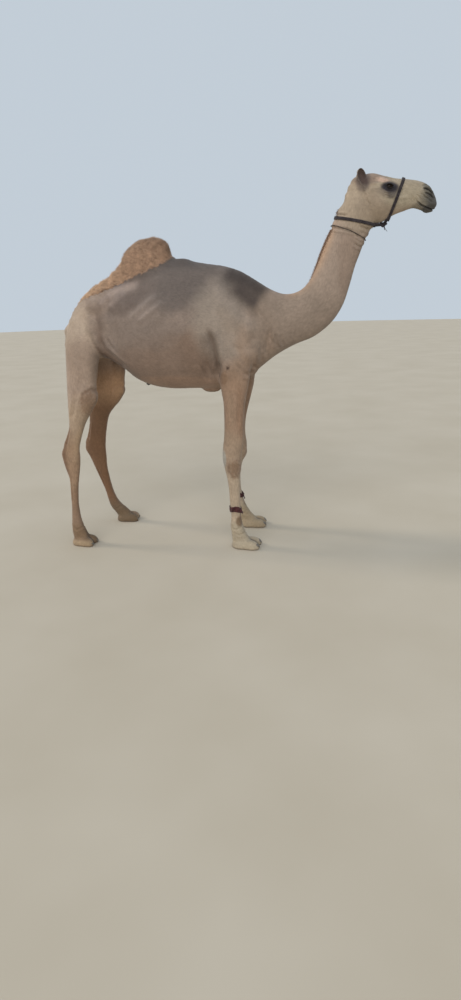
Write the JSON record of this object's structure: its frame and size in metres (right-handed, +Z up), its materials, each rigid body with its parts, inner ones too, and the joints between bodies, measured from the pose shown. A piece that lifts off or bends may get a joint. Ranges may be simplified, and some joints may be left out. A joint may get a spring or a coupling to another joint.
{
  "type": "camel",
  "caption": "Life-size standing one-humped camel, lean and short-coated, head held up and forward, wearing a strap halter, neck cord and leg bands.",
  "frame": {"origin": "on the floor under the middle of the bounding box", "axes": "+X towards the head, +Y to the animal's left, +Z up from the floor"},
  "size_m": [2.3814, 0.6412, 2.2843],
  "materials": {
    "coat": "short flat clipped hair, fawn to grey-brown, matt",
    "wool": "tufted wool, brown with orange tips, matt",
    "eye": "wet, dark brown",
    "horn": "dull dark horn",
    "callus": "bare cracked grey-brown skin",
    "webbing": "flat woven strap, near black",
    "cord": "twisted dark cord",
    "hobble": "dark maroon cloth band"
  },
  "bodies": {
    "root": {"breast_pad": "callus", "ear_left": "coat", "ear_right": "coat", "eye_left": "eye", "eye_right": "eye", "foreleg_left_cannon": "coat", "foreleg_left_foot": "coat", "foreleg_left_forearm": "coat", "foreleg_right_cannon": "coat", "foreleg_right_foot": "coat", "foreleg_right_forearm": "coat", "halter_knot": "webbing", "halter_neck_strap": "webbing", "halter_noseband": "webbing", "head": "coat", "hindleg_left_cannon": "coat", "hindleg_left_foot": "coat", "hindleg_left_shank": "coat", "hindleg_left_thigh": "coat", "hindleg_right_cannon": "coat", "hindleg_right_foot": "coat", "hindleg_right_shank": "coat", "hindleg_right_thigh": "coat", "hobble_band_left": "hobble", "hobble_band_right": "hobble", "hump": "wool", "jaw": "coat", "nail_foreleg_left_a": "horn", "nail_foreleg_left_b": "horn", "nail_foreleg_right_a": "horn", "nail_foreleg_right_b": "horn", "nail_hindleg_left_a": "horn", "nail_hindleg_left_b": "horn", "nail_hindleg_right_a": "horn", "nail_hindleg_right_b": "horn", "neck_cord": "cord", "neck_lower": "coat", "neck_upper": "coat", "tail": "coat", "trunk": "coat"}
  },
  "joints": []
}
